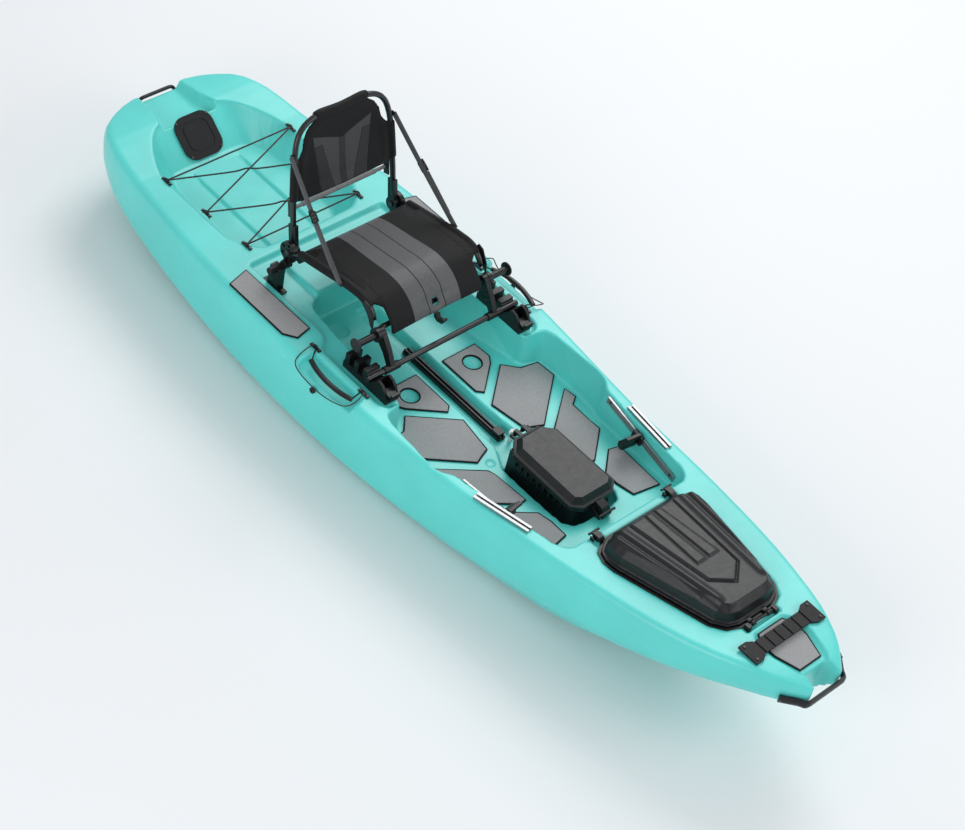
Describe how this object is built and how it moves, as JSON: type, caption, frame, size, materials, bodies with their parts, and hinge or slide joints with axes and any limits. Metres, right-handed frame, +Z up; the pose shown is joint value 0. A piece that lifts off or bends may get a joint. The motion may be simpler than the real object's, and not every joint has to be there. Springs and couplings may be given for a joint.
{
  "type": "fishing kayak",
  "caption": "Sit-on-top fishing kayak with folding framed seat, adjustable foot braces, centre storage pod, front hatch, gear tracks and rear tankwell.",
  "frame": {"origin": "middle of the overall box in X and Y, on the ground under the hull", "axes": "+X towards the bow, +Y towards port, +Z up"},
  "size_m": [3.232, 0.896, 0.9042],
  "materials": {
    "hull_polyethylene": "satin rotomoulded",
    "traction_foam": "brushed closed-cell foam",
    "black_rubber": "matte",
    "black_plastic": "moulded satin",
    "stainless_steel": "satin",
    "anodised_aluminium": "anodised",
    "shock_cord": "braided",
    "coated_tube": "satin powder coat",
    "seat_fabric": "woven mesh",
    "webbing": "woven webbing",
    "grey_plastic": "satin",
    "white_plastic": "satin"
  },
  "bodies": {
    "kayak": {"hull": "hull_polyethylene", "floor_pads": "traction_foam", "gunwale_pads": "traction_foam", "bow_pad": "traction_foam", "bow_strap": "black_rubber", "bow_handle": "black_plastic", "stern_handle": "black_plastic", "stern_plate": "black_plastic", "stern_plate_gasket": "black_rubber", "deck_screws": "stainless_steel", "deck_pad_eyes": "black_plastic", "tankwell_bungee": "shock_cord", "gear_tracks": "anodised_aluminium", "foot_rails": "anodised_aluminium", "paddle_keeper_cords": "shock_cord", "paddle_keeper_toggles": "black_plastic", "seat_saddles": "black_plastic", "rear_cradles": "black_plastic", "centre_track": "black_plastic", "hatch_rim": "black_plastic", "hatch_gasket": "black_rubber", "hatch_hinge_base": "black_plastic", "hatch_hinge_bar": "black_plastic", "pod_box": "black_plastic", "pod_gasket": "black_rubber", "pod_hinge_bar": "black_plastic", "pod_cable_plug": "white_plastic"},
    "pedal_port": {"foot_pedal_port": "black_plastic"},
    "pedal_starboard": {"foot_pedal_starboard": "black_plastic"},
    "handle_port": {"side_handle_port": "black_plastic"},
    "handle_starboard": {"side_handle_starboard": "black_plastic"},
    "saddle_lever_port": {"saddle_latch_port": "black_plastic"},
    "saddle_lever_starboard": {"saddle_latch_starboard": "black_plastic"},
    "slider": {"track_slider": "black_plastic"},
    "hatch": {"hatch_lid": "black_plastic"},
    "hatch_lever_port": {"hatch_latch_port": "black_plastic"},
    "hatch_lever_starboard": {"hatch_latch_starboard": "black_plastic"},
    "pod_cover": {"pod_lid": "black_plastic"},
    "pod_lever": {"pod_latch": "black_plastic"},
    "seat": {"seat_frame": "coated_tube", "seat_sling": "seat_fabric", "seat_hook": "black_plastic", "leg_hubs": "black_plastic", "leg_pins": "black_plastic", "rear_posts": "black_plastic", "recliner_plates": "black_plastic", "recliner_pins": "stainless_steel", "strap_lower_anchors": "black_plastic"},
    "legs": {"front_legs": "black_plastic", "crossbar": "coated_tube", "crossbar_caps": "black_plastic"},
    "backrest": {"recliner_arms": "black_plastic", "back_frame": "coated_tube", "back_sling": "seat_fabric", "lumbar_racks": "black_plastic", "strap_upper_anchors": "black_plastic", "back_straps": "webbing", "strap_buckles": "black_plastic"},
    "lumbar": {"lumbar_bar": "grey_plastic"}
  },
  "joints": [
    {"name": "seat_tilt", "type": "hinge", "parent": "kayak", "child": "seat", "pos_m": [-0.62, 0, 0.405], "axis": [0, -1, 0], "range_deg": [0, 50]},
    {"name": "back_recline", "type": "hinge", "parent": "seat", "child": "backrest", "pos_m": [-0.62, 0, 0.455], "axis": [0, 1, 0], "range_deg": [0, 50], "deforming": ["back_straps", "strap_buckles"]},
    {"name": "legs_swing", "type": "hinge", "parent": "seat", "child": "legs", "pos_m": [-0.176, 0, 0.456], "axis": [0, -1, 0], "range_deg": [0, 80]},
    {"name": "lumbar_slide", "type": "slide", "parent": "backrest", "child": "lumbar", "axis": [-0.225, 0, 0.9744], "range_m": [-0.02, 0.02]},
    {"name": "hatch_open", "type": "hinge", "parent": "kayak", "child": "hatch", "pos_m": [1.32141, 0, 0.40582], "axis": [0, 1, 0], "range_deg": [0, 100]},
    {"name": "hatch_latch_port_turn", "type": "hinge", "parent": "kayak", "child": "hatch_lever_port", "pos_m": [0.78347, 0.162, 0.35853], "axis": [0, -1, 0], "range_deg": [0, 50]},
    {"name": "hatch_latch_starboard_turn", "type": "hinge", "parent": "kayak", "child": "hatch_lever_starboard", "pos_m": [0.78347, -0.162, 0.35853], "axis": [0, -1, 0], "range_deg": [0, 50]},
    {"name": "pod_open", "type": "hinge", "parent": "kayak", "child": "pod_cover", "pos_m": [0.288, 0, 0.282], "axis": [0, -1, 0], "range_deg": [0, 95]},
    {"name": "pod_latch_turn", "type": "hinge", "parent": "kayak", "child": "pod_lever", "pos_m": [0.686, 0, 0.262], "axis": [0, 1, 0], "range_deg": [0, 60]},
    {"name": "pedal_port_slide", "type": "slide", "parent": "kayak", "child": "pedal_port", "axis": [0.9887, -0.1328, -0.0698], "range_m": [-0.1, 0.1]},
    {"name": "pedal_starboard_slide", "type": "slide", "parent": "kayak", "child": "pedal_starboard", "axis": [0.9887, 0.1328, -0.0698], "range_m": [-0.1, 0.1]},
    {"name": "handle_port_swing", "type": "hinge", "parent": "kayak", "child": "handle_port", "pos_m": [-0.2, 0.366, 0.3475], "axis": [1, 0, 0], "range_deg": [0, 70]},
    {"name": "handle_starboard_swing", "type": "hinge", "parent": "kayak", "child": "handle_starboard", "pos_m": [-0.2, -0.366, 0.3475], "axis": [-1, 0, 0], "range_deg": [0, 70]},
    {"name": "track_slide", "type": "slide", "parent": "kayak", "child": "slider", "axis": [1, 0, 0], "range_m": [-0.35, 0]},
    {"name": "saddle_latch_port_turn", "type": "hinge", "parent": "kayak", "child": "saddle_lever_port", "pos_m": [-0.032, 0.295, 0.345], "axis": [0, 1, 0], "range_deg": [0, 20]},
    {"name": "saddle_latch_starboard_turn", "type": "hinge", "parent": "kayak", "child": "saddle_lever_starboard", "pos_m": [-0.032, -0.295, 0.345], "axis": [0, 1, 0], "range_deg": [0, 20]}
  ]
}
